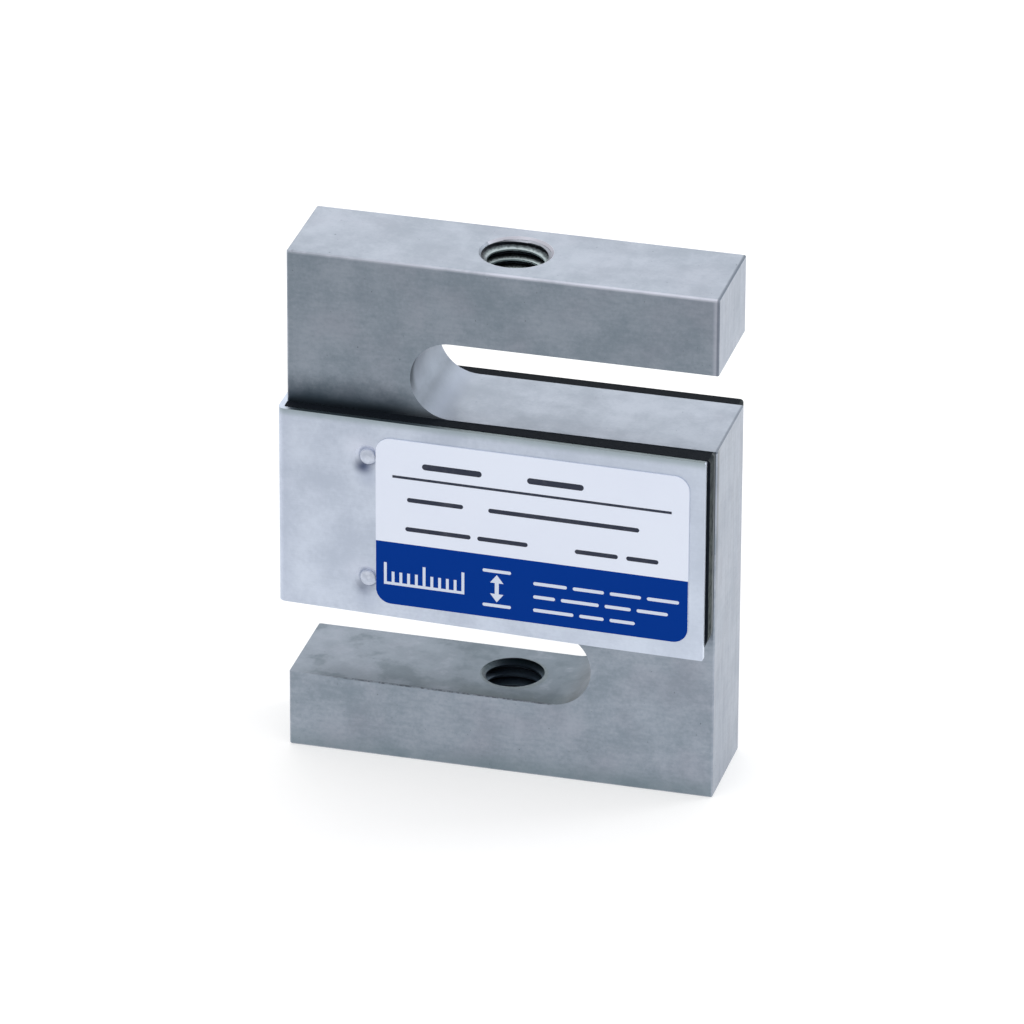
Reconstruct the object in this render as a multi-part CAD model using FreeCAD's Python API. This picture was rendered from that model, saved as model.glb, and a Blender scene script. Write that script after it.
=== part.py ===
# S-type load cell: a steel spring element cut by two opposed slots, with strain gauges in a window through
# its core, which a folded sheet cover and two gaskets close.
# Frame: X to the right, front face towards -Y, Z up. Origin on the load axis, in the bottom face.
import FreeCAD
import Part
import math
import os

V = FreeCAD.Vector

# ---- Driving dimensions, in millimetres and degrees ----

# Spring element
body_width = 50.8
body_depth = 12.7
arm_height = 9.525
slot_height = 9.525
slot_depth = 36.2
core_height = 25.4
edge_break = 0.15

# Window through the core, with a wide lobe at each end and a thin flexure above and below each lobe
flexure_thickness = 2.0
lobe_width = 7.0
lobe_spacing = 13.5
lobe_corner_radius = 1.8
channel_height = 15.0

# Threads M8 in both arms, as plain holes at the nominal diameter, with a countersink at each outer mouth
thread_radius = 4.0
countersink_width = 0.3

# Folded cover
sheet_thickness = 0.68
bend_radius = 0.2
front_gap = 1.25
front_splay_angle = 1.18
rear_gap = 1.7
cover_end_inset = 0.65
cover_edge_inset = 0.1
rear_leg_drop = 0.45
cover_taper_rise = 0.5
cover_taper_start = 12.0
cover_corner_radius = 0.2

# Gaskets between the core and the legs of the cover
gasket_edge_inset = 0.05
gasket_setback = 0.3
gasket_lower_radius = 3.0
gasket_upper_radius = 0.4
front_gasket_inset = 0.25
rear_gasket_inset = 0.45

# Pins that hold each leg near the fold, in seats coined into the sheet
pin_inset = 10.13
pin_spacing = 15.54
pin_head_radius = 0.88
pin_head_height = 0.3
pin_crown = 0.25
pin_shank_radius = 0.6
pin_grip = 3.0
pin_tip_clearance = 0.3
pin_clearance = 0.05
dish_radius = 1.6
dish_floor_radius = 1.0
dish_depth = 0.35

# Label on the front leg
label_width = 37.2
label_height = 21.1
label_corner_radius = 1.8
label_thickness = 0.15
label_fold_margin = 11.83

# Strain gauges and their solder terminals
gauge_length = 3.0
gauge_width = 5.6
gauge_thickness = 0.12
terminal_length = 1.9
terminal_width = 2.8
terminal_thickness = 0.4
terminal_edge_inset = 0.3
terminal_face_inset = 1.0

# Bridge board on the floor of the channel, with trim resistors
board_length = 6.0
board_width = 7.2
board_thickness = 0.8
board_face_inset = 0.4
resistor_count = 3
resistor_length = 1.6
resistor_width = 0.8
resistor_height = 0.45
resistor_pitch = 1.7
resistor_row_inset = 1.3

# Insulated leads from the terminals to the board
lead_radius = 0.22
lead_bend_radius = 0.7
lead_bend_step_angle = 30.0
lead_pad_inset = 0.8
lead_pad_spacing = 0.84
lead_loop_height = 2.0

# Cable entry: a bore through the left column of the core, with a rubber bush that the cover holds in
cable_bore_radius = 2.8
cable_seat_radius = 4.3
cable_seat_depth = 1.3
grommet_clearance = 0.05
grommet_hole_radius = 2.0
grommet_reach = 7.0

# ---- Levels and faces that several pieces share ----

body_height = 2 * arm_height + 2 * slot_height + core_height
core_bottom = arm_height + slot_height
core_top = core_bottom + core_height
core_middle = (core_bottom + core_top) / 2
left_face = -body_width / 2
right_face = body_width / 2
front_face = -body_depth / 2
rear_face = body_depth / 2
window_height = core_height - 2 * flexure_thickness
window_width = lobe_spacing + lobe_width
channel_floor = core_middle - channel_height / 2
channel_ceiling = core_middle + channel_height / 2
channel_half_width = (lobe_spacing - lobe_width) / 2
cover_bottom = core_bottom + cover_edge_inset
cover_top = core_top - cover_edge_inset
cover_end = right_face - cover_end_inset
overrun = 2.0
same_place = 1e-6


# ---- Helpers ----

def box(x0, x1, y0, y1, z0, z1):
    """A box between two values on each axis."""
    return Part.makeBox(x1 - x0, y1 - y0, z1 - z0, V(x0, y0, z0))


def rounded_plate(width, height, radius, thickness):
    """A plate centred on the origin in its own XY plane, with round corners, rising from Z = 0."""
    plate = Part.makeBox(width, height, thickness, V(-width / 2, -height / 2, 0))
    if radius <= 0:
        return plate
    uprights = [e for e in plate.Edges if abs(e.tangentAt(e.FirstParameter).z) > 0.5]
    return plate.makeFillet(radius, uprights)


def front_to_back(plate, x, z, y0):
    """Turns a plate drawn in its own XY plane to face the front, with its back lying in the plane Y = y0."""
    turned = plate.copy()
    turned.Placement = FreeCAD.Placement(V(x, y0, z), FreeCAD.Rotation(V(1, 0, 0), 90))
    return turned


def through_plate(width, height, radius, x, z):
    """A rounded cutter that passes front to back through the whole depth of the part."""
    length = body_depth + 2 * (front_gap + rear_gap + sheet_thickness + overrun)
    return front_to_back(rounded_plate(width, height, radius, length), x, z, length / 2)


def prism(corners, z0, z1):
    """A straight prism over an outline in the XY plane."""
    wire = Part.makePolygon([V(x, y, z0) for x, y in corners + corners[:1]])
    return Part.Face(wire).extrude(V(0, 0, z1 - z0))


def bent_wire(points, bend, radius):
    """A round wire through the points, with each inner corner turned round a bend radius in mitred steps."""
    path = [points[0]]
    for before, corner, after in zip(points, points[1:], points[2:]):
        to_before = (before - corner).normalize()
        to_after = (after - corner).normalize()
        turn = 180 - math.degrees(to_before.getAngle(to_after))
        steps = math.ceil(turn / lead_bend_step_angle)
        centre = corner + (to_before + to_after).normalize() * (bend / math.cos(math.radians(turn / 2)))
        arm = (corner + to_before * (bend * math.tan(math.radians(turn / 2))) - centre).normalize()
        reach = bend / math.cos(math.radians(turn / steps / 2))
        for step in range(steps):
            swing = FreeCAD.Rotation(to_after.cross(to_before), (step + 0.5) * turn / steps)
            path.append(centre + swing.multVec(arm) * reach)
    path.append(points[-1])
    section = Part.Wire([Part.makeCircle(radius, path[0], path[1] - path[0])])
    return Part.makePolygon(path).makePipeShell([section], True, False, 1)


# ---- The cover's lower taper and its two legs ----

def lower_taper():
    """The wedge by which the cover and its gaskets rise from the core's lower edge towards the fold."""
    x_fold = left_face - sheet_thickness
    y = front_face - front_gap - sheet_thickness - overrun
    below = cover_bottom - overrun
    side = Part.makePolygon([
        V(x_fold - overrun, y, below),
        V(cover_taper_start, y, below),
        V(cover_taper_start, y, cover_bottom),
        V(x_fold, y, cover_bottom + cover_taper_rise),
        V(x_fold - overrun, y, cover_bottom + cover_taper_rise),
        V(x_fold - overrun, y, below),
    ])
    depth = body_depth + front_gap + rear_gap + 2 * (sheet_thickness + overrun)
    return Part.Face(side).extrude(V(0, depth, 0))


class Leg:
    """One leg of the cover: side -1 is the front leg and +1 the rear leg."""

    def __init__(self, side, gap, splay):
        self.side = side
        self.gap = gap
        self.splay = math.radians(splay)

    def surface(self, x, outward):
        """Y of the leg at X, measured outward from its inner face."""
        rise = (x - left_face) * math.tan(self.splay)
        return self.side * (body_depth / 2 + self.gap + rise + outward / math.cos(self.splay))

    def frame(self, x, z, outward=0.0):
        """Placement with its origin on the leg, its Z axis along the outward normal and its Y axis up."""
        along = V(math.cos(self.splay), self.side * math.sin(self.splay), 0) * -self.side
        normal = V(-math.sin(self.splay), self.side * math.cos(self.splay), 0)
        turn = FreeCAD.Rotation(along, V(0, 0, 1), normal, "XYZ")
        return FreeCAD.Placement(V(x, self.surface(x, outward), z), turn)

    def place(self, shape, x, z, outward=0.0):
        placed = shape.copy()
        placed.Placement = self.frame(x, z, outward)
        return placed


front_leg = Leg(-1, front_gap, front_splay_angle)
rear_leg = Leg(1, rear_gap, 0.0)


def channel(outward, x_end, z0, z1):
    """The space inside the folded cover, grown outward by a distance, up to X = x_end."""
    x_fold = left_face - outward
    corners = [
        (x_fold, front_leg.surface(x_fold, outward)),
        (x_end, front_leg.surface(x_end, outward)),
        (x_end, rear_leg.surface(x_end, outward)),
        (x_fold, rear_leg.surface(x_fold, outward)),
    ]
    solid = prism(corners, z0, z1)
    folds = [
        e for e in solid.Edges
        if abs(e.CenterOfMass.x - x_fold) < same_place and abs(e.tangentAt(e.FirstParameter).z) > 0.5
    ]
    return solid.makeFillet(bend_radius + outward, folds)


# ---- Pins and their coined seats, drawn with Z = 0 on the leg's outer face and Z pointing outward ----

def pin_places():
    """The leg, X and Z of each pin."""
    x = left_face + pin_inset
    return [(leg, x, core_middle + up * pin_spacing / 2) for leg in (front_leg, rear_leg) for up in (1, -1)]


def pin_depth(leg):
    """Length of the shank from the underside of the head to its tip, which reaches into the core."""
    return leg.gap + (pin_inset * math.tan(leg.splay)) + sheet_thickness + pin_grip - dish_depth


def pin(leg):
    """A drive pin with a domed head, which stands on the floor of its seat."""
    seat = -dish_depth
    rim = seat + pin_head_height
    tip = seat - pin_depth(leg)
    dome_radius = (pin_head_radius ** 2 + pin_crown ** 2) / (2 * pin_crown)
    dome_centre = rim + pin_crown - dome_radius
    half_way = math.asin(pin_head_radius / dome_radius) / 2
    outline = [V(0, 0, tip), V(pin_shank_radius, 0, tip), V(pin_shank_radius, 0, seat),
               V(pin_head_radius, 0, seat), V(pin_head_radius, 0, rim)]
    edges = [Part.LineSegment(a, b).toShape() for a, b in zip(outline, outline[1:])]
    shoulder = V(dome_radius * math.sin(half_way), 0, dome_centre + dome_radius * math.cos(half_way))
    apex = V(0, 0, rim + pin_crown)
    edges.append(Part.Arc(outline[-1], shoulder, apex).toShape())
    edges.append(Part.LineSegment(apex, outline[0]).toShape())
    return Part.Face(Part.Wire(edges)).revolve(V(0, 0, 0), V(0, 0, 1), 360)


def pin_hole(leg):
    """The hole that a pin's shank passes through or into."""
    depth = dish_depth + pin_depth(leg) + pin_tip_clearance
    return Part.makeCylinder(pin_shank_radius + pin_clearance, depth + overrun, V(0, 0, -depth))


def dish():
    """The frustum of a dished seat, coined into the outer face of the sheet."""
    return Part.makeCone(dish_floor_radius, dish_radius, dish_depth, V(0, 0, -dish_depth))


# ---- Pieces ----

def slot_cutter(side, floor):
    """A slot that opens on side +1 or -1 of the body and ends in a half circle."""
    radius = slot_height / 2
    mouth = side * (body_width / 2 + overrun)
    centre = side * (body_width / 2 - slot_depth + radius)
    y = front_face - overrun
    floor_in = V(centre, y, floor)
    roof_in = V(centre, y, floor + slot_height)
    tip = V(centre - side * radius, y, floor + radius)
    floor_out = V(mouth, y, floor)
    roof_out = V(mouth, y, floor + slot_height)
    outline = Part.Wire([
        Part.LineSegment(floor_out, floor_in).toShape(),
        Part.Arc(floor_in, tip, roof_in).toShape(),
        Part.LineSegment(roof_in, roof_out).toShape(),
        Part.LineSegment(roof_out, floor_out).toShape(),
    ])
    return Part.Face(outline).extrude(V(0, body_depth + 2 * overrun, 0))


def thread_cutter(mouth, inward):
    """A hole through one arm from its outer mouth, +1 for upward and -1 for downward, with a countersink."""
    axis = V(0, 0, inward)
    start = V(0, 0, mouth)
    hole = Part.makeCylinder(thread_radius, arm_height + overrun, start, axis)
    wide = thread_radius + countersink_width
    return hole.fuse(Part.makeCone(wide, thread_radius, countersink_width, start, axis))


def window_cutter():
    """The gauge window: two lobes joined by a lower channel."""
    lobes = [
        through_plate(lobe_width, window_height, lobe_corner_radius, side * lobe_spacing / 2, core_middle)
        for side in (-1, 1)
    ]
    return through_plate(lobe_spacing, channel_height, 0, 0, core_middle).multiFuse(lobes)


def s_body():
    """The spring element, machined from one block."""
    block = box(left_face, right_face, front_face, rear_face, 0, body_height)
    block = block.makeChamfer(edge_break, block.Edges)
    cable_way = V(left_face - overrun, 0, core_middle)
    cable_bore = Part.makeCylinder(cable_bore_radius, body_width / 2 + overrun, cable_way, V(1, 0, 0))
    cable_seat = Part.makeCylinder(cable_seat_radius, cable_seat_depth + overrun, cable_way, V(1, 0, 0))
    cutters = [
        slot_cutter(1, core_top),
        slot_cutter(-1, arm_height),
        thread_cutter(0, 1),
        thread_cutter(body_height, -1),
        window_cutter(),
        cable_bore,
        cable_seat,
    ]
    cutters += [leg.place(pin_hole(leg), x, z, sheet_thickness) for leg, x, z in pin_places()]
    return block.cut(cutters)


def cover():
    """One sheet folded round the left column, with a splayed front leg and a parallel rear leg."""
    sheet = channel(sheet_thickness, cover_end, cover_bottom, cover_top)
    sheet = sheet.cut(channel(0, cover_end + overrun, cover_bottom - overrun, cover_top + overrun))
    free_corners = [
        e for e in sheet.Edges
        if abs(e.CenterOfMass.x - cover_end) < same_place and abs(e.tangentAt(e.FirstParameter).y) > 0.5
    ]
    sheet = sheet.makeFillet(cover_corner_radius, free_corners)
    relief = box(
        left_face + bend_radius, cover_end + overrun,
        rear_face, rear_leg.surface(cover_end, sheet_thickness) + overrun,
        cover_top - rear_leg_drop, cover_top + overrun,
    )
    entry = Part.makeCylinder(
        cable_bore_radius, sheet_thickness + 2 * overrun,
        V(left_face - sheet_thickness - overrun, 0, core_middle), V(1, 0, 0),
    )
    sheet = sheet.cut([relief, entry, lower_taper()])
    for leg, x, z in pin_places():
        sheet = sheet.cut([
            leg.place(dish(), x, z, sheet_thickness),
            leg.place(pin_hole(leg), x, z, sheet_thickness),
        ])
    return sheet.removeSplitter()


def gasket(leg, end_inset):
    """A ring of black foam between the core and one leg, open over the window and round the pins."""
    end = right_face - end_inset
    bottom = core_bottom + gasket_edge_inset
    top = core_top - gasket_edge_inset
    filler = channel(0, end, bottom, top)
    far = leg.surface(end, overrun)
    near = leg.side * body_depth / 2
    filler = filler.common(box(left_face, end, min(near, far), max(near, far), bottom, top))
    for level, radius in ((bottom, gasket_lower_radius), (top, gasket_upper_radius)):
        corners = [
            e for e in filler.Edges
            if abs(e.CenterOfMass.z - level) < same_place and abs(e.CenterOfMass.x - end) < same_place
        ]
        filler = filler.makeFillet(radius, corners)
    opening = through_plate(
        window_width + 2 * gasket_setback, window_height + 2 * gasket_setback,
        lobe_corner_radius, 0, core_middle,
    )
    around_pins = [
        leg.place(Part.makeCylinder(dish_radius + gasket_setback, 2 * overrun, V(0, 0, -overrun)), x, z)
        for pin_leg, x, z in pin_places() if pin_leg is leg
    ]
    return filler.cut([opening, lower_taper()] + around_pins)


def label():
    """A printed plate on the outer face of the front leg."""
    plate = rounded_plate(label_width, label_height, label_corner_radius, label_thickness)
    x = left_face + label_fold_margin + label_width / 2 - sheet_thickness
    return front_leg.place(plate, x, core_middle, sheet_thickness)


def seated_block(x, y, level, up, length, width, thickness):
    """A thin block on a level surface: up +1 stands it on a floor, and -1 hangs it from a ceiling."""
    z0 = level if up > 0 else level - thickness
    return box(x - length / 2, x + length / 2, y - width / 2, y + width / 2, z0, z0 + thickness)


corners_of_window = {
    "upper_left": (-1, -1),
    "upper_right": (1, -1),
    "lower_left": (-1, 1),
    "lower_right": (1, 1),
}
terminal_x = channel_half_width - terminal_edge_inset - terminal_length / 2
terminal_y = rear_face - terminal_face_inset - terminal_width / 2
board_y = front_face + board_face_inset + board_width / 2
board_top = channel_floor + board_thickness
board_rear_edge = board_y + board_width / 2


def strain_gauge(side, up):
    """A foil gauge bonded inside a lobe, over the thin flexure."""
    level = core_middle - up * window_height / 2
    return seated_block(side * lobe_spacing / 2, 0, level, up, gauge_length, gauge_width, gauge_thickness)


def gauge_terminal(side, up):
    """A solder terminal on the channel's floor or ceiling beside its gauge."""
    level = core_middle - up * channel_height / 2
    return seated_block(
        side * terminal_x, terminal_y, level, up, terminal_length, terminal_width, terminal_thickness
    )


def gauge_lead(side, up):
    """A lead from a terminal to the rear edge of the board."""
    pad_y = board_rear_edge - lead_pad_inset
    if up > 0:
        start = V(side * terminal_x, terminal_y, channel_floor + terminal_thickness)
        high = board_top + lead_loop_height
        pad = V(side * terminal_x, pad_y, board_top)
        points = [start, V(start.x, start.y, high), V(pad.x, pad.y, high), pad]
    else:
        start = V(side * terminal_x, terminal_y, channel_ceiling - terminal_thickness)
        pad = V(side * (terminal_x - lead_pad_spacing), pad_y, board_top)
        points = [
            start,
            V(start.x, start.y, start.z - lead_loop_height),
            V(pad.x, pad.y, board_top + 2 * lead_loop_height),
            pad,
        ]
    return bent_wire(points, lead_bend_radius, lead_radius)


def bridge_board():
    """The board that completes the bridge, bonded to the floor of the channel."""
    return seated_block(0, board_y, channel_floor, 1, board_length, board_width, board_thickness)


def trim_resistor(index):
    """One of a row of trim resistors near the front edge of the board."""
    x = (index - (resistor_count - 1) / 2) * resistor_pitch
    y = board_y - board_width / 2 + resistor_row_inset
    return seated_block(x, y, board_top, 1, resistor_width, resistor_length, resistor_height)


def cable_grommet():
    """A rubber bush, flush with the cover, whose flange lies in the seat behind the cover's fold wall."""
    outer = left_face - sheet_thickness
    neck_radius = cable_bore_radius - grommet_clearance
    flange_radius = cable_seat_radius - grommet_clearance
    flange_back = left_face + cable_seat_depth - grommet_clearance
    corners = [
        (outer, grommet_hole_radius),
        (outer, neck_radius),
        (left_face, neck_radius),
        (left_face, flange_radius),
        (flange_back, flange_radius),
        (flange_back, neck_radius),
        (outer + grommet_reach, neck_radius),
        (outer + grommet_reach, grommet_hole_radius),
    ]
    ring = Part.makePolygon([V(x, 0, core_middle + r) for x, r in corners + corners[:1]])
    return Part.Face(ring).revolve(V(0, 0, core_middle), V(1, 0, 0), 360)


# ---- Assembly ----

nodes = {
    "s_body": s_body(),
    "cover": cover(),
    "gasket_front": gasket(front_leg, front_gasket_inset),
    "gasket_rear": gasket(rear_leg, rear_gasket_inset),
    "cover_pins": Part.makeCompound(
        [leg.place(pin(leg), x, z, sheet_thickness) for leg, x, z in pin_places()]
    ),
    "label": label(),
    "bridge_board": bridge_board(),
    "cable_grommet": cable_grommet(),
}
for place, (side, up) in corners_of_window.items():
    nodes["strain_gauge_" + place] = strain_gauge(side, up)
    nodes["gauge_terminal_" + place] = gauge_terminal(side, up)
    nodes["gauge_lead_" + place] = gauge_lead(side, up)
for index in range(resistor_count):
    nodes["trim_resistor_" + str(index + 1)] = trim_resistor(index)

os.makedirs("parts", exist_ok=True)
for name, shape in nodes.items():
    shape.exportStep(os.path.join("parts", name + ".step"))
    print(name, len(shape.Solids), round(shape.Volume, 2), shape.isValid())
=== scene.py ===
# Looks of the S-type load cell: materials for each piece, the helical threads, the label's print, the gauge
# grids and the solder, in a plain studio. Metres, X to the right, front face towards -Y, Z up.
import math

import bmesh
import bpy
from mathutils import Matrix, Vector


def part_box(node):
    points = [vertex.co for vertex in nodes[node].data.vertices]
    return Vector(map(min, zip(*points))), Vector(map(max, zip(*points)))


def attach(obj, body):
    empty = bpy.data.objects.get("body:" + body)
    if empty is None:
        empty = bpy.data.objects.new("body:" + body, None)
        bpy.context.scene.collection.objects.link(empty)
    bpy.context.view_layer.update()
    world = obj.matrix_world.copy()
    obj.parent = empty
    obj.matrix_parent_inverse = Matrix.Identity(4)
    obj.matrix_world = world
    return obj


MM = 0.001

# ---- Threads, M8 coarse, right hand ----
THREAD_PITCH = 1.25 * MM
# Radius and half width of the ridge at its root, in the bore's wall, and at its crest
THREAD_ROOT_RADIUS = 4.06 * MM
THREAD_CREST_RADIUS = 3.34 * MM
THREAD_ROOT_HALF = 0.575 * MM
THREAD_CREST_HALF = 0.10 * MM
# Points of the ridge's outline, as shares of half its width at the root
THREAD_PROFILE = (-1.0, -0.725, -0.45, -0.174, 0.174, 0.45, 0.725, 1.0)
# Outlines to a turn
THREAD_STEPS = 60
# How far the ridge runs on past the countersink's inner end, and how much deeper its end is in the wall
THREAD_RUN_ON = 0.10 * MM
THREAD_OVERLAP = 0.10 * MM
# How far the ridge stays inside the arm's inner face, and how far it is proud of the countersink
THREAD_FLUSH = 0.004 * MM
THREAD_LIP = 0.012 * MM
# Edges sharper than this, in degrees, stay sharp
THREAD_SHARP = 30
BORE_RADIUS = 4.0 * MM
COUNTERSINK = 0.3 * MM
# Height of an arm, and of the slot beside it
ARM = 9.525 * MM
# Azimuth about Z in degrees, and height, of one point of each ridge
UPPER_CREST = (104.8, 62.22 * MM)
LOWER_CREST = (180.0, 9.08 * MM)

# ---- Label print, in the label's own plane: X as in the frame, Z up ----
PRINT_LIFT = 0.012 * MM
PRINT_DEPTH = 0.008 * MM
PRINT_MARGIN = 0.02 * MM
LABEL_CORNER = 1.8 * MM
BAND_TOP = 29.17 * MM
# Low and high X, height and thickness of the rule under the first row
RULE = (-12.24 * MM, 20.9 * MM, 37.62 * MM, 0.32 * MM)
# Radius of a bar's ends as a share of half its thickness
BAR_END = 0.98
# Rows of bars in place of wording: height of a row, thickness of its bars, and each bar's X, in millimetres
LINES = (
    (39.3, 0.75, ((-8.7, -1.6), (3.8, 10.5))),
    (34.85, 0.55, ((-10.5, -3.8), (-0.8, 17.1))),
    (31.1, 0.55, ((-10.7, -2.9), (-2.1, 3.9), (9.5, 14.6), (15.6, 19.4))),
)
NOTES = (
    (26.3, 0.42, ((4.6, 8.6), (9.3, 13.0), (13.7, 17.4), (18.1, 21.9))),
    (24.6, 0.42, ((4.6, 7.2), (7.9, 12.4), (13.1, 16.2), (16.9, 20.6))),
    (22.9, 0.42, ((4.6, 9.4), (10.1, 13.0), (13.7, 16.7))),
)
# X and height of the arrow's middle, and low X, high X and height of the scale
ARROW_PLACE = (0.25 * MM, 25.0 * MM)
SCALE_PLACE = (-13.1 * MM, -3.8 * MM, 23.9 * MM)

# ---- Inside the window ----
# Radius and colours of the leads
LEAD_RADIUS = 0.22 * MM
LEAD_COLORS = {
    "upper_left": (0.50, 0.02, 0.015),
    "upper_right": (0.015, 0.015, 0.016),
    "lower_left": (0.02, 0.22, 0.05),
    "lower_right": (0.72, 0.72, 0.68),
}
# Radius and height of the solder on a terminal and on the board, and the angle of edges that stay sharp
SOLDER_BLOB = (0.48 * MM, 0.3 * MM)
SOLDER_PAD = (0.4 * MM, 0.22 * MM)
SOLDER_SHARP = 35
# Strands of a gauge's foil, half their length, and the tabs on each side of them
GRID_STRANDS = 9
GRID_PITCH = 0.24 * MM
GRID_WIDTH = 0.13 * MM
GRID_REACH = 0.85 * MM
GRID_LIFT = 0.02 * MM
TAB_PLACE = 1.9 * MM
TAB_HALF = 0.5 * MM
# Length of a resistor's end caps, and how far they stand proud of it
CAP_LENGTH = 0.3 * MM
CAP_SKIN = 0.015 * MM

# ---- Camera: angles in degrees, sensor and lens in millimetres, the rest in metres ----
CAMERA_AZIMUTH = 14.833
CAMERA_ELEVATION = 26.42
CAMERA_ROLL = 0.27
CAMERA_DISTANCE = 1.0552
CAMERA_SENSOR = 36.0
CAMERA_LENS = 321.6
CAMERA_CLIP = (0.05, 30.0)
CAMERA_TARGET = Vector((-0.36, 0.0, 30.45)) * MM

# ---- Light ----
FLOOR_DROP = 0.02 * MM
FLOOR_REACH = 6.0
# Floor's glow to the camera, over what its own colour gives
FLOOR_GLOW = 0.42
FLOOR_COLOR = (0.62, 0.62, 0.62, 1.0)
# Floor's glow in reflections: Y of a far and of a near line in front, and its strength at each
FLOOR_MIRROR = (-0.14, -0.03, 0.18, 0.62)
WHITE = (1.0, 1.0, 1.0)
# Name, azimuth from the front and elevation in degrees, distance, side, power and colour
SOFTBOXES = (
    ("back_softbox", -(180 - CAMERA_AZIMUTH), 27, 1.1, 0.75, 2.0, WHITE),
    ("right_softbox", 125, 12, 1.1, 0.4, 5.0, (0.93, 0.97, 1.0)),
    ("front_softbox", -25, 50, 1.2, 0.8, 1.15, WHITE),
)

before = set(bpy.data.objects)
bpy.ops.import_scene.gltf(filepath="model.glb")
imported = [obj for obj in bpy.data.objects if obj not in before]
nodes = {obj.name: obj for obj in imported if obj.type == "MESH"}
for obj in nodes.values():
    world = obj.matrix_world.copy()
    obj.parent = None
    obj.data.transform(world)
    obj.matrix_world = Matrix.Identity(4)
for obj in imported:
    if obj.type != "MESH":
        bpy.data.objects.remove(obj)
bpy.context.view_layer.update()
body_low, body_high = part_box("s_body")
label_low, label_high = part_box("label")

# ---- Faces and levels of the pieces ----
FRONT = body_low.y
RIGHT = body_high.x
LOWER_ARM_TOP = body_low.z + ARM
CORE_TOP = body_high.z - 2 * ARM
UPPER_ARM_FOOT = body_high.z - ARM
COVER_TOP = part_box("cover")[1].z
GASKET_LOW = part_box("gasket_front")[0].z
GASKET_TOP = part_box("gasket_front")[1].z
# Only the heads of the front pins lie in front of this
PIN_HEAD_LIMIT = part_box("cover_pins")[0].y + 0.4 * MM

# ---- Places where the steel's finish and its painted light and shade change ----
# Heights within the lower and the upper slot
LOWER_ARM_LIMIT = 15 * MM
UPPER_ARM_LIMIT = 50 * MM
# How deep in an arm the oily finish of its hole begins, and how far past the bore's radius it reaches
HOLE_MARGIN = 0.125 * MM
WALL_MARGIN = 0.02 * MM
# The slot over the core, in Z and X, and the X over which its round end turns
SLOT_Z = (44 * MM, 54 * MM)
SLOT_X = (-12 * MM, 25 * MM)
SLOT_TURN = (-4.8 * MM, -8 * MM)
# Heights between which the lower thread's cut face and its lit flank lie
THREAD_CUT = (LOWER_ARM_TOP - 0.015 * MM, LOWER_ARM_TOP + 0.005 * MM)
THREAD_LIT = (LOWER_ARM_TOP - 0.825 * MM, LOWER_ARM_TOP + 0.075 * MM)


# ---- Materials ----

class ShaderTree:
    """Short calls that add nodes to one shader tree."""

    def __init__(self, tree):
        self.tree = tree

    def add(self, kind, **settings):
        """Adds a node and sets its properties."""
        node = self.tree.nodes.new(kind)
        for key, value in settings.items():
            setattr(node, key, value)
        return node

    def feed(self, socket, value):
        """Gives a socket a constant or the output of another node."""
        if isinstance(value, bpy.types.NodeSocket):
            self.tree.links.new(value, socket)
        else:
            socket.default_value = value

    def math(self, operation, *values):
        """The result of one operation on one or two values."""
        node = self.add("ShaderNodeMath", operation=operation)
        for socket, value in zip(node.inputs, values):
            self.feed(socket, value)
        return node.outputs[0]

    def less(self, a, b):
        """1 where a is less than b."""
        return self.math("LESS_THAN", a, b)

    def between(self, value, low, high):
        """1 where a value lies between two limits."""
        return self.both(self.less(low, value), self.less(value, high))

    def both(self, *masks):
        """The product of several masks and weights."""
        total = masks[0]
        for mask in masks[1:]:
            total = self.math("MULTIPLY", total, mask)
        return total

    def sum(self, *terms):
        """Adds weighted values: each term is (weight, value)."""
        total = None
        for weight, value in terms:
            part = self.math("MULTIPLY", value, weight)
            total = part if total is None else self.math("ADD", total, part)
        return total

    def distance(self, a, b):
        """Length of the vector with the components a and b."""
        return self.math("SQRT", self.sum((a, a), (b, b)))

    def split(self, kind):
        """X, Y and Z of the point, "Object", or of the surface's own normal, "Normal"."""
        node = self.add("ShaderNodeSeparateXYZ")
        self.feed(node.inputs[0], self.add("ShaderNodeTexCoord").outputs[kind])
        return node.outputs[0], node.outputs[1], node.outputs[2]

    def range(self, value, low, high, to_low=0.0, to_high=1.0, smooth=True):
        """Goes from to_low at low to to_high at high, and stays level beyond them."""
        node = self.add("ShaderNodeMapRange", interpolation_type="SMOOTHSTEP" if smooth else "LINEAR")
        sockets = ("Value", "From Min", "From Max", "To Min", "To Max")
        for socket, number in zip(sockets, (value, low, high, to_low, to_high)):
            self.feed(node.inputs[socket], number)
        return node.outputs["Result"]

    def rays(self, first, *others):
        """1 for rays of the given kinds, and 0 for the rest."""
        path = self.add("ShaderNodeLightPath")
        total = path.outputs[first]
        for kind in others:
            total = self.math("MAXIMUM", total, path.outputs[kind])
        return total


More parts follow.
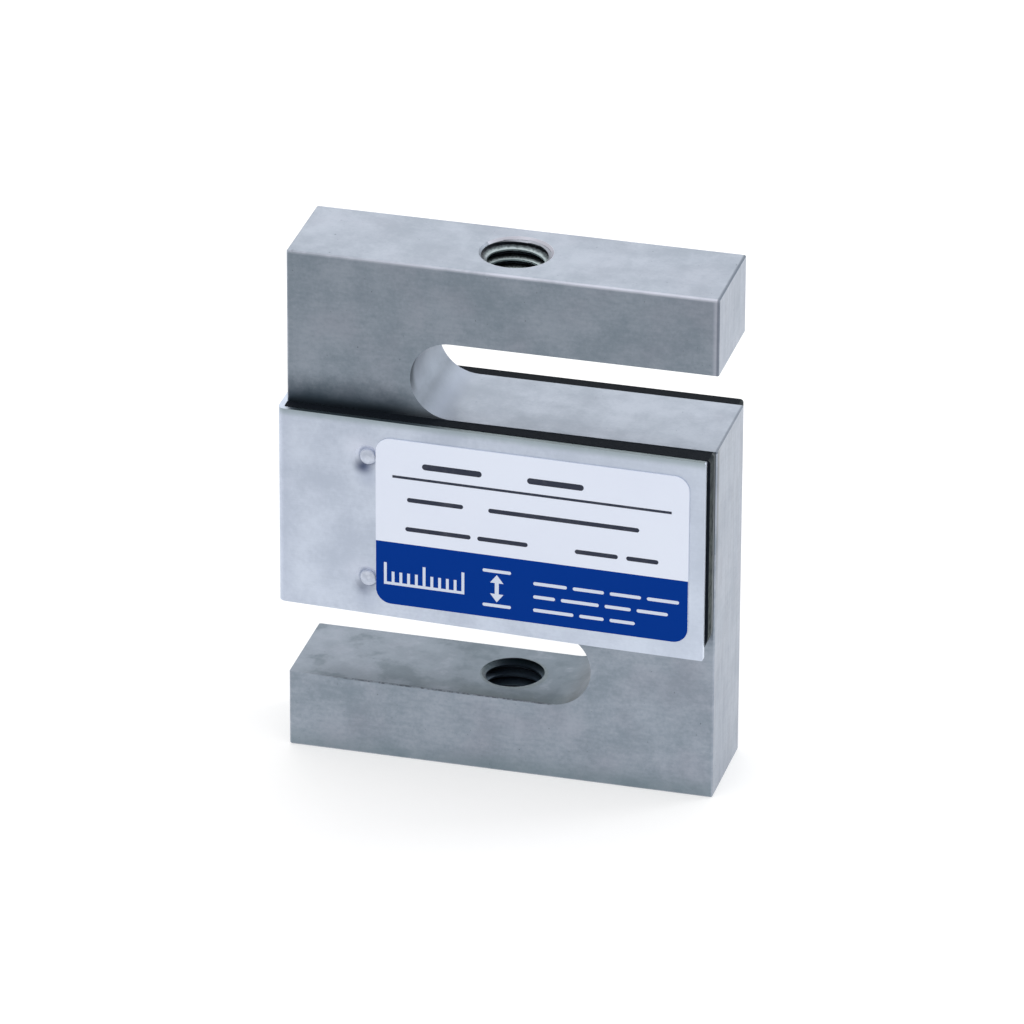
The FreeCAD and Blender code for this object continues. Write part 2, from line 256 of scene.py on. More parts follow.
class Looks(ShaderTree):
    """One procedural material. Lengths in its textures are in metres."""

    def __init__(self, name, color, roughness, metallic=0.0, coat=0.0, specular=0.5):
        self.material = bpy.data.materials.new(name)
        self.material.use_nodes = True
        self.material.diffuse_color = (*color, 1.0)
        super().__init__(self.material.node_tree)
        self.shader = self.tree.nodes["Principled BSDF"]
        self.color = color
        self.set("Base Color", (*color, 1.0))
        self.set("Roughness", roughness)
        self.set("Metallic", metallic)
        self.set("Coat Weight", coat)
        self.set("Specular IOR Level", specular)
        self.place = self.add("ShaderNodeTexCoord").outputs["Object"]

    def set(self, socket, value):
        """Gives one input of the shader a constant or the output of another node."""
        self.feed(self.shader.inputs[socket], value)

    def noise(self, size, detail=3.0, roughness=0.5, stretch=(1.0, 1.0, 1.0), shift=0.0):
        """Noise whose blotches are about size across; stretch lengthens them along an axis."""
        mapping = self.add("ShaderNodeMapping")
        self.feed(mapping.inputs["Vector"], self.place)
        mapping.inputs["Scale"].default_value = [1.0 / (size * s) for s in stretch]
        mapping.inputs["Location"].default_value = (shift, shift, shift)
        node = self.add("ShaderNodeTexNoise")
        self.feed(node.inputs["Vector"], mapping.outputs[0])
        node.inputs["Scale"].default_value = 1.0
        node.inputs["Detail"].default_value = detail
        node.inputs["Roughness"].default_value = roughness
        return node.outputs["Fac"]

    def near(self, point, radii):
        """1 at a point and 0 beyond an ellipsoid of the given radii."""
        mapping = self.add("ShaderNodeMapping", vector_type="POINT")
        self.feed(mapping.inputs["Vector"], self.place)
        mapping.inputs["Location"].default_value = [-p / r for p, r in zip(point, radii)]
        mapping.inputs["Scale"].default_value = [1.0 / r for r in radii]
        length = self.add("ShaderNodeVectorMath", operation="LENGTH")
        self.feed(length.inputs[0], mapping.outputs[0])
        return self.range(length.outputs["Value"], 1.0, 0.0)

    def mix(self, factor, a, b):
        """A colour that goes from a to b with a factor."""
        node = self.add("ShaderNodeMix", data_type="RGBA")
        self.feed(node.inputs["Factor"], factor)
        for name, value in (("A", a), ("B", b)):
            socket = [i for i in node.inputs if i.name == name and i.type == "RGBA"][0]
            self.feed(socket, (*value, 1.0) if isinstance(value, tuple) else value)
        return [o for o in node.outputs if o.type == "RGBA"][0]

    def blend(self, factor, a, b):
        """Makes the base colour run from a to b with a factor."""
        self.color = self.mix(factor, a, b)
        self.set("Base Color", self.color)

    def paint(self, mask, color, weight=1.0):
        """Lays a colour over the base colour, as far as a mask of 0 to 1 and a weight say."""
        self.blend(self.both(mask, weight), self.color, color)

    def bump(self, height, depth):
        """Relief: height 0 to 1 stands for depth in metres."""
        node = self.add("ShaderNodeBump")
        node.inputs["Strength"].default_value = 1.0
        node.inputs["Distance"].default_value = depth
        self.feed(node.inputs["Height"], height)
        self.set("Normal", node.outputs["Normal"])


class BodySteel(Looks):
    """Ground alloy steel under clear plating: faintly mottled, with worn, grimy and oily places, and with
    painted shade and painted highlights.
    """

    def __init__(self):
        super().__init__("body_steel", (0.25, 0.29, 0.34), 0.42, metallic=1.0)
        self.x, self.y, self.z = self.split("Object")
        self.face_x, self.face_y, self.face_z = self.split("Normal")
        self.front = self.less(self.face_y, -0.9)
        self.top = self.range(self.face_z, 0.55, 0.98)
        self.right = self.less(0.9, self.face_x)
        self.mottle = self.noise(5 * MM, detail=7, roughness=0.66)
        self.cloud = self.noise(16 * MM, detail=2, shift=3.7)
        self.streak = self.noise(0.80 * MM, detail=3, stretch=(1, 1, 8), shift=7.1)
        self.grain = self.noise(0.36 * MM, detail=2, roughness=0.6, shift=5.1)
        self.ground_steel()
        self.shade_front()
        self.stain_lower_arm()
        self.wear_edges()
        self.soil_right_face()
        self.finish_slot()
        self.oil_holes()

    def ground_steel(self):
        """The plain finish: mottled, drawn along Z on the right face, with a few pits."""
        lines = self.noise(0.45 * MM, detail=3, stretch=(4, 4, 1), shift=1.3)
        tone = self.sum((0.48, self.mottle), (0.18, self.cloud), (0.16, lines), (0.18, self.grain))
        self.blend(self.range(tone, 0.36, 0.64), (0.200, 0.240, 0.282), (0.295, 0.330, 0.382))
        tint = self.range(self.noise(8 * MM, detail=3, shift=11.9), 0.45, 0.70, 0.0, 0.25)
        self.paint(tint, (0.290, 0.290, 0.345))
        self.paint(self.top, (0.258, 0.285, 0.338), 0.60)
        drawn = self.mix(self.range(self.streak, 0.30, 0.66), (0.245, 0.268, 0.318), (0.300, 0.328, 0.385))
        self.paint(self.right, drawn, 0.70)
        pits = self.range(self.noise(0.45 * MM, detail=1, shift=8.3), 0.765, 0.80, 0.0, 0.6)
        self.paint(pits, (0.09, 0.11, 0.135))
        self.satin = self.range(tone, 0.35, 0.65, 0.46, 0.38)
        self.bump(self.sum((0.6, self.grain), (0.3, lines), (-0.4, pits)), 0.008 * MM)

    def shade_front(self):
        """The front face: painted shade, darker towards the top, and painted shade above the cover's upper
        edge, where the cover shades it.
        """
        # Painted shade: the front face darker towards the top
        high = self.both(self.front, self.range(self.z, 18 * MM, 50 * MM))
        self.paint(high, (0.10, 0.13, 0.16), 0.16)
        # Painted shade on the front face just above the cover's upper edge, where the cover shades it
        shade_height = self.sum((1.0, self.z), (2.2 * MM, self.mottle))
        cover_shade = self.both(
            self.range(shade_height, GASKET_TOP + 1.2 * MM, GASKET_TOP + 5.7 * MM, 0.93, 0.0),
            self.range(self.x, -7 * MM, -14 * MM),
            self.less(GASKET_TOP, self.z),
            self.less(self.face_y, -0.5),
        )
        self.paint(cover_shade, (0.030, 0.045, 0.062))

    def stain_lower_arm(self):
        """The lower arm: painted shade on its top, deeper towards the right under the core, dirt along its
        front edge, and painted shade at its foot.
        """
        low_top = self.both(self.top, self.less(self.z, LOWER_ARM_LIMIT))
        # Painted shade on the lower arm's top, deeper towards the right under the core
        wander = self.sum((1.0, self.x), (12 * MM, self.mottle))
        core_shade = self.range(wander, -16 * MM, 10 * MM, 0.58, 0.95)
        self.paint(self.both(low_top, core_shade), (0.100, 0.128, 0.156))
        stain = self.noise(4.2 * MM, detail=4, roughness=0.6, shift=14.2)
        self.paint(self.both(low_top, self.range(stain, 0.48, 0.66, 0.0, 0.55)), (0.058, 0.084, 0.104))
        self.paint(self.both(low_top, self.range(stain, 0.46, 0.32, 0.0, 0.45)), (0.21, 0.235, 0.28))
        dirt = self.both(
            low_top,
            self.range(self.y, FRONT + 3.35 * MM, FRONT + 0.05 * MM),
            self.range(self.mottle, 0.38, 0.60, 0.15, 0.80),
            self.range(self.x, -20 * MM, 4 * MM, 0.25, 1.0),
        )
        self.paint(dirt, (0.045, 0.065, 0.075))
        seam = self.both(
            self.range(self.z, LOWER_ARM_TOP - 0.205 * MM, LOWER_ARM_TOP - 0.065 * MM),
            self.less(self.z, LOWER_ARM_TOP + 0.075 * MM),
            self.less(self.y, FRONT + 0.2 * MM),
            self.range(self.x, 6.6 * MM, 5.4 * MM),
            self.range(self.x, -24 * MM, -15 * MM, 0.0, 0.9),
            self.range(self.grain, 0.36, 0.60, 0.25, 1.0),
        )
        self.paint(seam, (0.05, 0.06, 0.075))
        # Painted shade: the front face darker near the floor
        drift = self.sum((1.0, self.z), (3 * MM, self.cloud))
        floor_shade = self.range(drift, 4.6 * MM, 1.4 * MM, 0.0, 0.45)
        self.paint(self.both(self.front, floor_shade), (0.13, 0.18, 0.20))

    def edge_distance(self):
        """Distance of a surface point from the nearest edge of the body's outer block."""
        centre = (body_low + body_high) / 2
        half = (body_high - body_low) / 2
        gaps = []
        for axis, middle, reach in zip((self.x, self.y, self.z), centre, half):
            offset = self.math("ABSOLUTE", self.math("SUBTRACT", axis, middle))
            gaps.append(self.math("SUBTRACT", reach, offset))
        low = self.math("MINIMUM", gaps[0], gaps[1])
        high = self.math("MAXIMUM", gaps[0], gaps[1])
        return self.math("MAXIMUM", low, self.math("MINIMUM", high, gaps[2]))

    def wear_edges(self):
        """Bright hairlines of wear and painted highlight on the edges, a painted highlight band along the
        upper arm's front edges, and a painted dark line of shade at a corner.
        """
        in_upper_arm = self.less(UPPER_ARM_LIMIT, self.z)
        end_face = self.less(0.9, self.math("ABSOLUTE", self.face_x))
        bare = self.math("MAXIMUM", in_upper_arm, end_face)
        # Bright hairlines on the edges: wear, and painted highlight where the edges catch the light
        worn = self.both(
            self.range(self.edge_distance(), 0.06 * MM, 0.26 * MM, 1.0, 0.0),
            self.range(self.mottle, 0.35, 0.65, 0.3, 0.75),
            self.less(self.face_z, 0.5),
            self.range(bare, 0.0, 1.0, 0.35, 1.0),
        )
        self.paint(worn, (0.44, 0.46, 0.54))
        # Painted highlight along the upper arm's top front edge
        brow_highlight = self.both(
            self.less(self.face_y, -0.3),
            self.range(self.z, body_high.z - 0.5 * MM, body_high.z - 0.14 * MM),
            self.range(self.x, -16 * MM, 2 * MM, 0.50, 1.0),
            self.range(self.mottle, 0.30, 0.55, 0.65, 1.0),
        )
        self.paint(brow_highlight, (0.53, 0.55, 0.63))
        # Painted highlight along the front face's right edge in the upper arm
        side_highlight = self.range(self.x, RIGHT - 0.85 * MM, RIGHT - 0.45 * MM)
        self.paint(self.both(self.front, side_highlight, in_upper_arm), (0.46, 0.47, 0.55), 0.42)
        # Painted shade: a dark line just inside the right edge, from the core's top upward
        corner_shade_line = self.both(
            self.less(CORE_TOP - 0.25 * MM, self.z),
            self.less(self.face_x, 0.9),
            self.range(self.x, RIGHT - 0.38 * MM, RIGHT - 0.18 * MM),
        )
        self.paint(corner_shade_line, (0.08, 0.10, 0.13), 0.68)

    def soil_right_face(self):
        """The right face: grubby beside the gasket."""
        grubby = self.both(
            self.right,
            self.range(self.y, FRONT + 1.45 * MM, FRONT + 0.45 * MM),
            self.less(self.z, CORE_TOP - 0.05 * MM),
            self.range(self.z, 20 * MM, 36 * MM, 0.0, 0.85),
            self.range(self.streak, 0.30, 0.60, 0.7, 1.0),
        )
        self.paint(grubby, (0.080, 0.092, 0.100))

    def finish_slot(self):
        """The slot over the core: matt round its end, with painted light where the end faces up and painted
        shade on its wall, and painted shade where that turns down at the front.
        """
        slot = self.both(
            self.between(self.z, *SLOT_Z),
            self.between(self.x, *SLOT_X),
            self.less(self.math("ABSOLUTE", self.face_y), 0.5),
        )
        turn = self.both(slot, self.range(self.x, *SLOT_TURN))
        # Painted light where the round end faces up, and painted shade on its wall
        lit_and_shaded_end = self.mix(self.range(self.face_z, 0.66, 0.95), (0.295, 0.325, 0.372), (0.54, 0.59, 0.68))
        self.paint(turn, lit_and_shaded_end, 0.85)
        # Painted shade on the round end's wall where it faces down, near the front
        crescent_shade = self.both(
            slot,
            self.range(self.face_z, 0.60, 0.0),
            self.range(self.y, FRONT + 2.15 * MM, FRONT + 0.65 * MM, 0.0, 0.75),
        )
        self.paint(crescent_shade, (0.045, 0.060, 0.072))
        self.set("Roughness", self.sum((1.0, self.satin), (0.30, turn)))

    def oil_holes(self):
        """The tapped holes: dark and oily inside, and a painted highlight on the upper countersink."""
        radius = self.distance(self.x, self.y)
        wall = BORE_RADIUS + WALL_MARGIN
        in_lower = self.less(self.z, LOWER_ARM_TOP - HOLE_MARGIN)
        in_upper = self.less(UPPER_ARM_FOOT + HOLE_MARGIN, self.z)
        inside = self.both(self.less(radius, wall), self.math("ADD", in_lower, in_upper))
        self.paint(inside, (0.020, 0.024, 0.032), 0.9)
        # Painted highlight on the upper countersink
        cone = self.both(
            self.between(radius, wall, BORE_RADIUS + COUNTERSINK + 0.01 * MM),
            self.less(body_high.z - COUNTERSINK - 0.1 * MM, self.z),
            self.range(self.math("ADD", self.y, self.x), -3 * MM, 2 * MM, 0.1, 0.85),
        )
        self.paint(cone, (0.50, 0.50, 0.56))


def thread_steel():
    """Cut steel of the threads: bright crests over dark, oily roots, with painted shade deeper in the lower
    arm and on the upper thread's flanks that face down, and painted light on the upper crests, the lower
    thread's top and the countersink.
    """
    steel = Looks("thread_steel", (0.30, 0.33, 0.35), 0.36, metallic=1.0)
    x, y, z = steel.split("Object")
    upward = steel.split("Normal")[2]
    radius = steel.distance(x, y)
    chatter = steel.noise(0.30 * MM, detail=3, roughness=0.7)
    in_upper_arm = steel.range(z, 20 * MM, 50 * MM)
    second_turn_highlight = steel.range(z, body_high.z - 1.6 * MM, body_high.z - 2.0 * MM)
    sunk_shade = steel.range(z, LOWER_ARM_TOP - 0.625 * MM, LOWER_ARM_TOP - 1.325 * MM)

    # Crest, flank and root of the lower thread, at its mouth and deeper, and of the upper thread; painted
    # shade darkens the lower thread with depth, and a painted highlight brightens the upper crests from the
    # second turn down
    crest = steel.mix(sunk_shade, (0.05, 0.07, 0.09), (0.175, 0.230, 0.290))
    flank = steel.mix(sunk_shade, (0.035, 0.05, 0.06), (0.135, 0.180, 0.230))
    root = steel.mix(sunk_shade, (0.025, 0.04, 0.045), (0.100, 0.130, 0.175))
    crest = steel.mix(in_upper_arm, crest, steel.mix(second_turn_highlight, (0.50, 0.58, 0.60), (0.80, 0.93, 0.95)))
    flank = steel.mix(in_upper_arm, flank, (0.100, 0.120, 0.130))
    root = steel.mix(in_upper_arm, root, (0.012, 0.013, 0.018))
    ragged = steel.sum((1.0, radius), (0.55 * MM, steel.math("SUBTRACT", chatter, 0.5)))
    flank_radius = THREAD_CREST_RADIUS + 0.4 * MM
    steel.blend(steel.range(ragged, THREAD_CREST_RADIUS + 0.08 * MM, flank_radius), crest, flank)
    steel.paint(steel.range(ragged, flank_radius, THREAD_ROOT_RADIUS - 0.12 * MM), root)
    # Painted shade on the upper thread's flanks that face down
    steel.paint(steel.both(steel.less(upward, -0.2), in_upper_arm), (0.030, 0.026, 0.036))

    # Painted light on the cut face at the lower arm's top, and on the flank that the light reaches there
    flush = steel.both(steel.less(0.9, upward), steel.between(z, *THREAD_CUT))
    lit = steel.both(
        steel.less(0.3, upward),
        steel.between(z, *THREAD_LIT),
        steel.range(x, -1.2 * MM, -3.4 * MM),
        steel.range(chatter, 0.40, 0.60, 0.3, 0.8),
    )
    flush = steel.math("MAXIMUM", flush, lit)
    steel.paint(flush, (0.105, 0.132, 0.150))

    # Painted highlight on what the upper countersink cuts
    cone = steel.math("SUBTRACT", z, body_high.z - COUNTERSINK - BORE_RADIUS)
    on_cone = steel.both(
        steel.less(steel.math("ABSOLUTE", steel.math("SUBTRACT", radius, cone)), 0.03 * MM),
        steel.less(0.3, upward),
        in_upper_arm,
        steel.range(x, -2.8 * MM, -0.5 * MM, 0.3, 1.0),
    )
    steel.paint(on_cone, (0.40, 0.42, 0.475))
    rough = steel.range(chatter, 0.3, 0.7, 0.30, 0.42)
    steel.set("Roughness", steel.sum((1.0, rough), (0.08, steel.math("MAXIMUM", flush, on_cone))))
    steel.bump(chatter, 0.012 * MM)
    return steel


def cover_sheet(pins):
    """Satin stainless sheet: a dull sheared top edge, a right edge painted light, and at the pins a painted
    shadow below each, a painted highlight above it and painted light on the walls of their seats.
    """
    sheet = Looks("cover_sheet", (0.56, 0.62, 0.73), 0.36, metallic=1.0)
    x, _, z = sheet.split("Object")
    face_x, face_y, face_z = sheet.split("Normal")
    brush = sheet.noise(0.14 * MM, detail=3, roughness=0.6, stretch=(30, 30, 1))
    fine = sheet.noise(0.5 * MM, detail=4, roughness=0.6, shift=2.2)
    cloud = sheet.noise(7 * MM, detail=4, roughness=0.55, shift=6.1)
    tone = sheet.sum((0.12, brush), (0.22, fine), (0.66, cloud))
    sheet.blend(sheet.range(tone, 0.36, 0.64), (0.420, 0.466, 0.556), (0.520, 0.570, 0.665))
    sheet.paint(sheet.range(x, -10 * MM, 22 * MM, 0.0, 0.28), (0.62, 0.68, 0.78))
    near_fold = sheet.range(x, -26 * MM, -23.6 * MM, 0.30, 0.0)
    sheet.paint(sheet.both(near_fold, sheet.range(cloud, 0.35, 0.6, 0.4, 1.0)), (0.40, 0.44, 0.55))
    near_top = sheet.range(z, COVER_TOP - 1.1 * MM, COVER_TOP, 0.0, 0.62)
    sheet.paint(sheet.both(near_top, sheet.less(face_y, -0.7)), (0.21, 0.27, 0.27))
    # Painted shadow below each pin, and a painted highlight above and left of it
    for place, weight in pins:
        pin_shadow = sheet.near(place + Vector((-0.50, 0, -1.22)) * MM, (1.7 * MM, 3 * MM, 1.5 * MM))
        sheet.paint(pin_shadow, (0.035, 0.050, 0.110), weight)
        pin_shadow_tail = sheet.near(place + Vector((0.1, 0, -2.5)) * MM, (2.2 * MM, 3 * MM, 2.0 * MM))
        sheet.paint(pin_shadow_tail, (0.22, 0.26, 0.38), weight * 0.35)
        pin_highlight = sheet.near(place + Vector((-1.0, 0, 1.1)) * MM, (2.8 * MM, 3 * MM, 2.5 * MM))
        sheet.paint(pin_highlight, (0.74, 0.76, 0.88), weight * 0.30)

    # Painted light on the walls of the pins' seats that face down and left, and the sheared edges, the right
    # one painted light
    seat_wall_light = sheet.both(
        sheet.range(face_z, 0.0, -0.35),
        sheet.between(face_y, -0.98, -0.3),
        sheet.range(face_x, 0.35, -0.10),
    )
    sheet.paint(seat_wall_light, (0.66, 0.70, 0.81))
    upper_edge = sheet.both(sheet.less(0.9, face_z), sheet.range(x, -25.6 * MM, -23.5 * MM, 0.15, 0.85))
    sheet.paint(upper_edge, (0.110, 0.145, 0.145))
    side_edge_light = sheet.less(0.8, face_x)
    sheet.paint(side_edge_light, (0.60, 0.66, 0.76))
    sheet.set("Metallic", sheet.math("SUBTRACT", 1.0, sheet.sum((0.9, side_edge_light), (0.45, seat_wall_light))))
    sheet.set("Roughness", sheet.range(tone, 0.3, 0.7, 0.42, 0.34))
    sheet.bump(sheet.sum((0.5, brush), (0.5, fine)), 0.005 * MM)
    return sheet


def gasket_foam():
    """Black closed-cell foam: dusty on its right side, pressed pale beside the body."""
    foam = Looks("gasket_foam", (0.006, 0.009, 0.014), 0.85, specular=0.12)
    x, y, z = foam.split("Object")
    cells = foam.noise(0.14 * MM, detail=2, roughness=0.7)
    dust = foam.noise(1.1 * MM, detail=4, roughness=0.75, shift=4.4)
    side = foam.less(0.3, foam.split("Normal")[0])
    settled = foam.range(z, 44 * MM, 24 * MM, 0.45, 1.0)
    foam.blend(foam.range(dust, 0.60, 0.78, 0.0, 0.3), (0.005, 0.008, 0.013), (0.045, 0.055, 0.060))
    foam.paint(foam.both(foam.range(dust, 0.34, 0.62, 0.20, 0.85), side, settled), (0.085, 0.100, 0.095))
    pressed = foam.range(y, FRONT - 0.7 * MM, FRONT - 0.35 * MM)
    foam.paint(foam.both(side, pressed, foam.less(y, 0.0), settled), (0.19, 0.205, 0.22))
    low_end = foam.range(z, GASKET_LOW + 2.4 * MM, GASKET_LOW + 1.3 * MM)
    foam.paint(foam.both(low_end, foam.less(23.5 * MM, x)), (0.13, 0.145, 0.155), 0.8)
    foam.set("Roughness", foam.range(cells, 0.3, 0.7, 0.80, 0.92))
    foam.bump(cells, 0.05 * MM)
    return foam


def pin_steel():
    """Plated steel pins, tumbled bright, with painted light on their side walls."""
    steel = Looks("pin_steel", (0.50, 0.55, 0.64), 0.44, metallic=1.0)
    worn = steel.noise(0.6 * MM, detail=2)
    wall = steel.less(steel.math("ABSOLUTE", steel.split("Normal")[1]), 0.75)
    steel.blend(steel.range(worn, 0.4, 0.65), (0.46, 0.50, 0.59), (0.56, 0.60, 0.69))
    # Painted light on the pins' side walls
    steel.paint(wall, (0.70, 0.74, 0.84))
    steel.set("Metallic", steel.range(wall, 0.0, 1.0, 1.0, 0.3))
    steel.set("Roughness", steel.range(worn, 0.3, 0.7, 0.40, 0.48))
    steel.bump(worn, 0.004 * MM)
    return steel


def label_film():
    """White satin polyester label."""
    film = Looks("label_film", (0.78, 0.83, 0.955), 0.45, specular=0.25)
    weave = film.noise(0.3 * MM, detail=2)
    cloud = film.noise(14 * MM, detail=2, shift=2.9)
    film.blend(film.range(cloud, 0.3, 0.7), (0.800, 0.852, 0.985), (0.822, 0.875, 1.0))
    film.set("Roughness", film.range(weave, 0.3, 0.7, 0.42, 0.50))
    film.bump(weave, 0.002 * MM)
    return film


def ink(name, color, fade=0.0):
    """Screen-printed ink with a slightly uneven coat."""
    coat = Looks(name, color, 0.5, specular=0.04)
    uneven = coat.noise(1.6 * MM, detail=4, roughness=0.65)
    pale = tuple(c + (0.5 - c) * fade for c in color)
    coat.blend(coat.range(uneven, 0.45, 0.75), color, pale)
    coat.set("Roughness", coat.range(uneven, 0.3, 0.7, 0.45, 0.55))
    coat.bump(uneven, 0.002 * MM)
    return coat


def gauge_film():
    """Amber polyimide carrier of a foil gauge."""
    film = Looks("gauge_film", (0.50, 0.22, 0.035), 0.3, coat=0.4)
    ripple = film.noise(0.8 * MM, detail=2)
    film.blend(ripple, (0.40, 0.16, 0.02), (0.60, 0.29, 0.06))
    film.bump(ripple, 0.01 * MM)
    return film


def gauge_foil():
    """Etched constantan foil."""
    foil = Looks("gauge_foil", (0.62, 0.42, 0.30), 0.35, metallic=1.0)
    grain = foil.noise(0.2 * MM, detail=2)
    foil.blend(grain, (0.52, 0.34, 0.24), (0.72, 0.52, 0.38))
    foil.set("Roughness", foil.range(grain, 0.3, 0.7, 0.3, 0.42))
    return foil


def solder():
    """Tinned terminal or solder joint."""
    tin = Looks("solder_terminal", (0.68, 0.69, 0.70), 0.28, metallic=1.0)
    frost = tin.noise(0.35 * MM, detail=3)
    tin.blend(frost, (0.58, 0.59, 0.60), (0.80, 0.80, 0.80))
    tin.set("Roughness", tin.range(frost, 0.35, 0.65, 0.2, 0.4))
    tin.bump(frost, 0.02 * MM)
    return tin


def board_laminate():
    """Green glass laminate under solder mask."""
    board = Looks("board_laminate", (0.02, 0.16, 0.06), 0.35, coat=0.3)
    weave = board.noise(0.5 * MM, detail=2, stretch=(1, 3, 1))
    board.blend(weave, (0.012, 0.11, 0.04), (0.03, 0.21, 0.08))
    board.bump(weave, 0.01 * MM)
    return board


def moulded(name, color, size):
    """Moulded rubber, plastic or ceramic with a fine grain."""
    stuff = Looks(name, color, 0.55)
    grain = stuff.noise(size, detail=3, roughness=0.6)
    pale = tuple(c * 1.35 + 0.012 for c in color)
    stuff.blend(stuff.range(grain, 0.35, 0.7), color, pale)
    stuff.set("Roughness", stuff.range(grain, 0.3, 0.7, 0.48, 0.64))
    stuff.bump(grain, 0.02 * MM)
    return stuff


# ---- Mesh helpers ----

def piece(name, mesh, looks):
    """Makes an object of a mesh, gives it a material, and rides it on the body."""
    mesh.materials.append(looks.material)
    obj = bpy.data.objects.new(name, mesh)
    bpy.context.scene.collection.objects.link(obj)
    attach(obj, "root")


def mesh_from(work, name):
    """Turns a bmesh into a mesh, and frees it."""
    mesh = bpy.data.meshes.new(name)
    work.to_mesh(mesh)
    work.free()
    return mesh


def loft(name, rings):
    """A mesh through equal closed rings of points, with a face over each end."""
    count = len(rings[0])
    last = (len(rings) - 1) * count
    faces = []
    for start in range(0, last, count):
        for j in range(count):
            k = (j + 1) % count
            faces.append((start + j, start + k, start + count + k, start + count + j))
    faces.append(tuple(reversed(range(count))))
    faces.append(tuple(range(last, last + count)))
    mesh = bpy.data.meshes.new(name)
    mesh.from_pydata([point for ring in rings for point in ring], [], faces)
    fix_normals(mesh)
    return mesh


def fix_normals(mesh):
    """Turns every face of a closed mesh outwards."""
    work = bmesh.new()
    work.from_mesh(mesh)
    bmesh.ops.recalc_face_normals(work, faces=work.faces)
    work.to_mesh(mesh)
    work.free()


def smooth(mesh, angle):
    """Shades a mesh smooth, apart from edges sharper than an angle in degrees."""
    mesh.shade_smooth()
    mesh.set_sharp_from_angle(angle=math.radians(angle))


# ---- Helical threads ----

def ridge_radius(rise):
    """Radius of the thread's flank at a height above or below the middle of its ridge."""
    share = (THREAD_ROOT_HALF - abs(rise)) / (THREAD_ROOT_HALF - THREAD_CREST_HALF)
    return THREAD_ROOT_RADIUS + (THREAD_CREST_RADIUS - THREAD_ROOT_RADIUS) * max(0.0, min(1.0, share))


def thread(name, face, mouth, crest, looks):
    """The ridge of a tapped hole: cut flat at the arm's inner face, and by the countersink at its mouth.

    crest gives the azimuth, in degrees about Z, and the height of one point of the ridge.
    """
    azimuth, height = crest
    up = 1 if mouth > face else -1
    cone_end = mouth - up * COUNTERSINK
    flush = face + up * THREAD_FLUSH
    cap = cone_end + up * THREAD_RUN_ON
    first = face - up * THREAD_ROOT_HALF
    last = cap + up * THREAD_ROOT_HALF
    steps = int(abs(last - first) / THREAD_PITCH * THREAD_STEPS)
    rings = []
    for step in range(steps + 1):
        middle = first + (last - first) * step / steps
        angle = math.radians(azimuth) + 2 * math.pi * (middle - height) / THREAD_PITCH
        ring = []
        for share in THREAD_PROFILE:
            rise = share * THREAD_ROOT_HALF
            radius = ridge_radius(rise)
            z = middle + rise
            if (z - flush) * up < 0:
                radius = THREAD_ROOT_RADIUS if abs(share) == 1.0 else ridge_radius(flush - middle)
                z = flush
            if (z - cap) * up > 0:
                radius = THREAD_ROOT_RADIUS + THREAD_OVERLAP
                z = cap
            radius = max(radius, BORE_RADIUS - (cone_end - z) * up - THREAD_LIP)
            ring.append((radius * math.cos(angle), radius * math.sin(angle), z))
        rings.append(ring)
    mesh = loft(name, rings)
    smooth(mesh, THREAD_SHARP)
    piece(name, mesh, looks)


# ---- Label print ----

# The label's printed face, with a point on it and its normal
label_face = next(p for p in nodes["label"].data.polygons if p.normal.y < -0.9)
label_point = label_face.center.copy()
label_normal = label_face.normal.copy()


def on_label(x, z, lift):
    """A point over the printed face at X and Z of the frame."""
    slope = -label_normal.x / label_normal.y
    return Vector((x, label_point.y + (x - label_point.x) * slope, z)) + label_normal * lift


def panel(x0, x1, z0, z1, radii=(0, 0, 0, 0), steps=8):
    """Outline of a rectangle with a corner radius at low left, low right, high right and high left."""
    corners = [(x0, z0, 1, 1, 180), (x1, z0, -1, 1, 270), (x1, z1, -1, -1, 0), (x0, z1, 1, -1, 90)]
    outline = []
    for (x, z, to_x, to_z, start), radius in zip(corners, radii):
        if radius == 0:
            outline.append((x, z))
            continue
        for step in range(steps + 1):
            angle = math.radians(start + 90 * step / steps)
            outline.append((
                x + to_x * radius + radius * math.cos(angle),
                z + to_z * radius + radius * math.sin(angle),
            ))
    return outline


def bar(x0, x1, z, height):
    """A bar with round ends, centred on Z."""
    end_radius = height / 2 * BAR_END
    return panel(x0, x1, z - height / 2, z + height / 2, [end_radius] * 4)


def printed(name, outlines, looks, level=1):
    """Raised ink in the given outlines of the label's plane; level 2 lies over level 1."""
    work = bmesh.new()
    for outline in outlines:
        top = [work.verts.new(on_label(x, z, PRINT_LIFT * level)) for x, z in outline]
        face = work.faces.new(top)
        base = [work.verts.new(on_label(x, z, PRINT_LIFT * level - PRINT_DEPTH)) for x, z in outline]
        for i in range(len(outline)):
            k = (i + 1) % len(outline)
            work.faces.new((top[i], base[i], base[k], top[k]))
        face.normal_update()
        if face.normal.dot(label_normal) < 0:
            face.normal_flip()
    piece(name, mesh_from(work, name), looks)


def words(rows):
    """Bars that stand for words, in rows of height, thickness and pairs of X, all in millimetres."""
    return [bar(x0 * MM, x1 * MM, z * MM, height * MM) for z, height, spans in rows for x0, x1 in spans]


